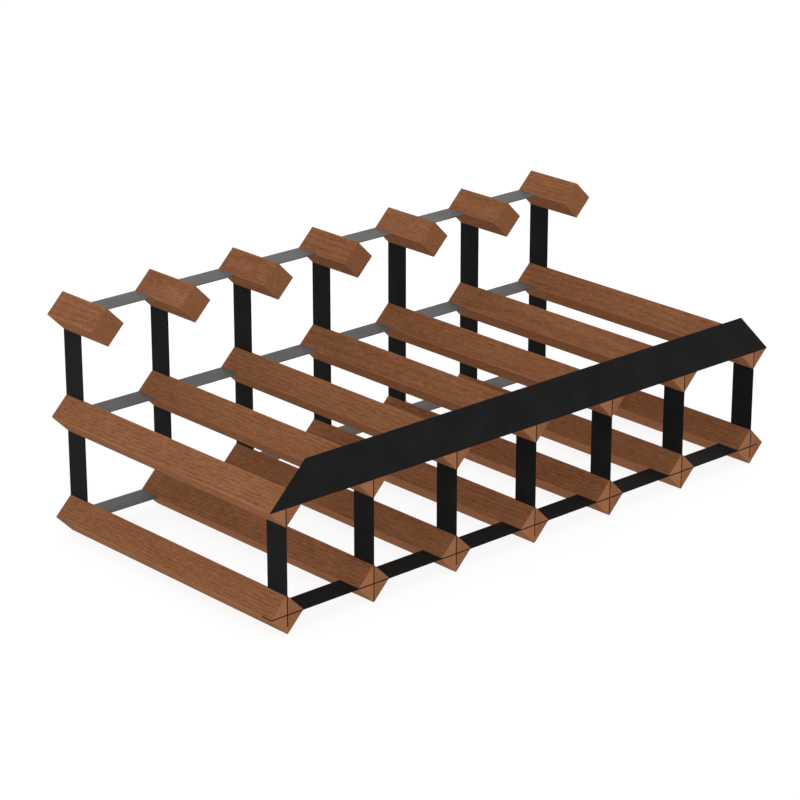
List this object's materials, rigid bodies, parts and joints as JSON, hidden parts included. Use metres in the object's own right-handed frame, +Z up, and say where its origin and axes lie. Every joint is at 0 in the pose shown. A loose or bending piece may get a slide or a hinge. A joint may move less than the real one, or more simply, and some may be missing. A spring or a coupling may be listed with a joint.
{
  "type": "wine rack",
  "caption": "Low countertop wine rack of square timber bars set on edge, held in a lattice of thin black steel strips, with a front rail for a display row.",
  "frame": {"origin": "middle of the footprint, on the surface that the bottom bars' lower arrises stand on", "axes": "+X across the columns of bottles, +Y towards the back, +Z up; the front rail faces -Y"},
  "size_m": [0.6114, 0.303, 0.2274],
  "materials": {
    "timber": "satin mahogany-brown stain, fine lengthwise grain, end grain at the cut ends",
    "black_steel": "satin black powder coat"
  },
  "bodies": {
    "root": {"bottom_bar_1": "timber", "bottom_bar_2": "timber", "bottom_bar_3": "timber", "bottom_bar_4": "timber", "bottom_bar_5": "timber", "bottom_bar_6": "timber", "bottom_bar_7": "timber", "middle_bar_1": "timber", "middle_bar_2": "timber", "middle_bar_3": "timber", "middle_bar_4": "timber", "middle_bar_5": "timber", "middle_bar_6": "timber", "middle_bar_7": "timber", "top_block_1": "timber", "top_block_2": "timber", "top_block_3": "timber", "top_block_4": "timber", "top_block_5": "timber", "top_block_6": "timber", "top_block_7": "timber", "front_bottom_strip": "black_steel", "front_rail": "black_steel", "back_bottom_strip": "black_steel", "back_middle_strip": "black_steel", "back_top_strip": "black_steel", "front_upright_1": "black_steel", "front_upright_2": "black_steel", "front_upright_3": "black_steel", "front_upright_4": "black_steel", "front_upright_5": "black_steel", "front_upright_6": "black_steel", "front_upright_7": "black_steel", "back_upright_1": "black_steel", "back_upright_2": "black_steel", "back_upright_3": "black_steel", "back_upright_4": "black_steel", "back_upright_5": "black_steel", "back_upright_6": "black_steel", "back_upright_7": "black_steel"}
  },
  "joints": []
}
